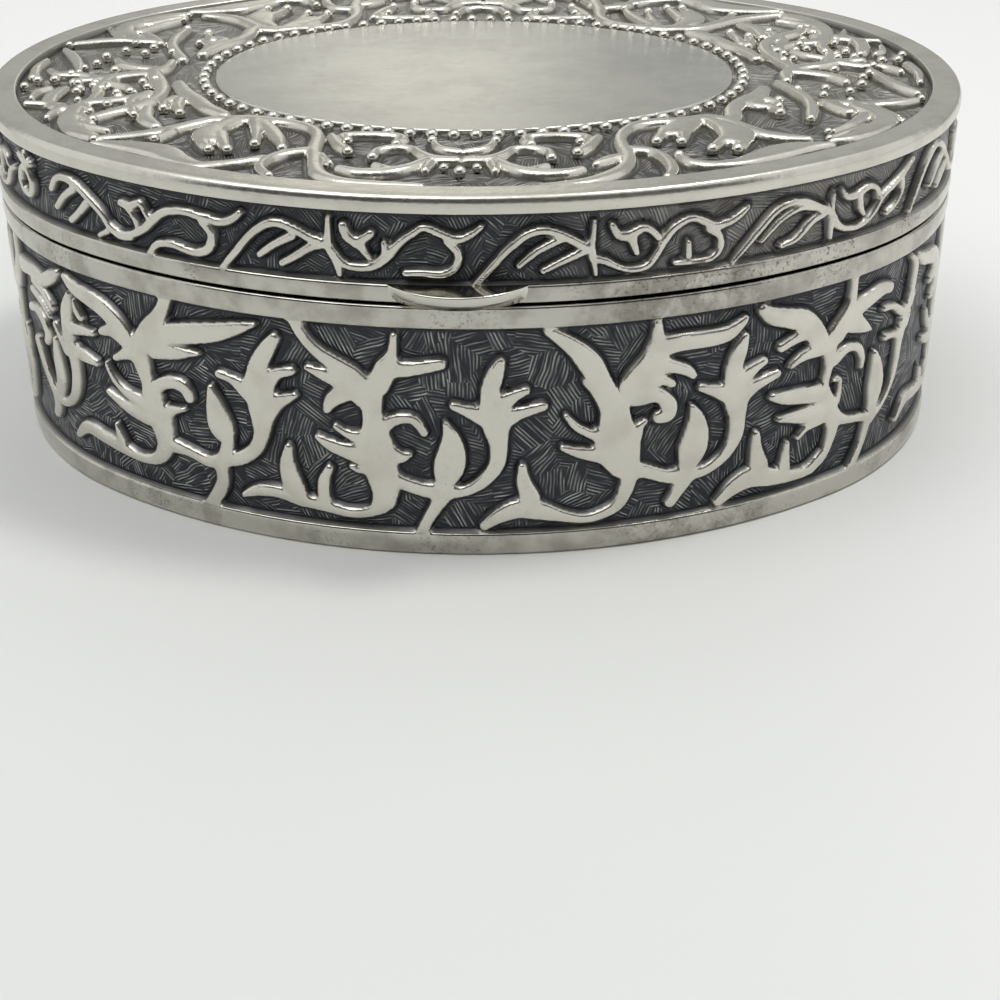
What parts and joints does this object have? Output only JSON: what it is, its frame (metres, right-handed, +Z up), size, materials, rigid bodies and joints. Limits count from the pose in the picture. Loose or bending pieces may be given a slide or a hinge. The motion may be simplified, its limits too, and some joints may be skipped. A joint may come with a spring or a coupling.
{
  "type": "rosary box",
  "caption": "Oval hinged-lid keepsake box in antiqued cast silver plate, with embossed scrollwork on its sides and lid, a beaded plain plaque and a velvet lining.",
  "frame": {"origin": "middle of the footprint, on the surface the box stands on", "axes": "+X to the right along the length, +Y to the back where the hinge is, +Z up"},
  "size_m": [0.122, 0.101, 0.0439],
  "materials": {
    "silver_relief": "polished silver plate",
    "silver_ground": "silver plate, antiqued dark in the grounds",
    "silver_plain": "satin silver plate",
    "steel_pin": "satin",
    "velvet": "velvet pile"
  },
  "bodies": {
    "base": {"base_wall": "silver_ground", "base_relief": "silver_relief", "base_floor": "silver_plain", "base_liner_wall": "velvet", "base_liner_floor": "velvet", "hinge_base": "silver_relief", "hinge_pin": "steel_pin"},
    "lid": {"lid_skirt": "silver_ground", "skirt_relief": "silver_relief", "lid_top": "silver_ground", "lid_top_relief": "silver_relief", "bead_ring": "silver_relief", "plaque": "silver_plain", "thumb_lift": "silver_relief", "lid_liner_wall": "velvet", "lid_liner_top": "velvet", "hinge_lid": "silver_relief"}
  },
  "joints": [
    {"name": "lid_hinge", "type": "hinge", "parent": "base", "child": "lid", "pos_m": [0, 0.04945, 0.03135], "axis": [-1, 0, 0], "range_deg": [0, 105]}
  ]
}
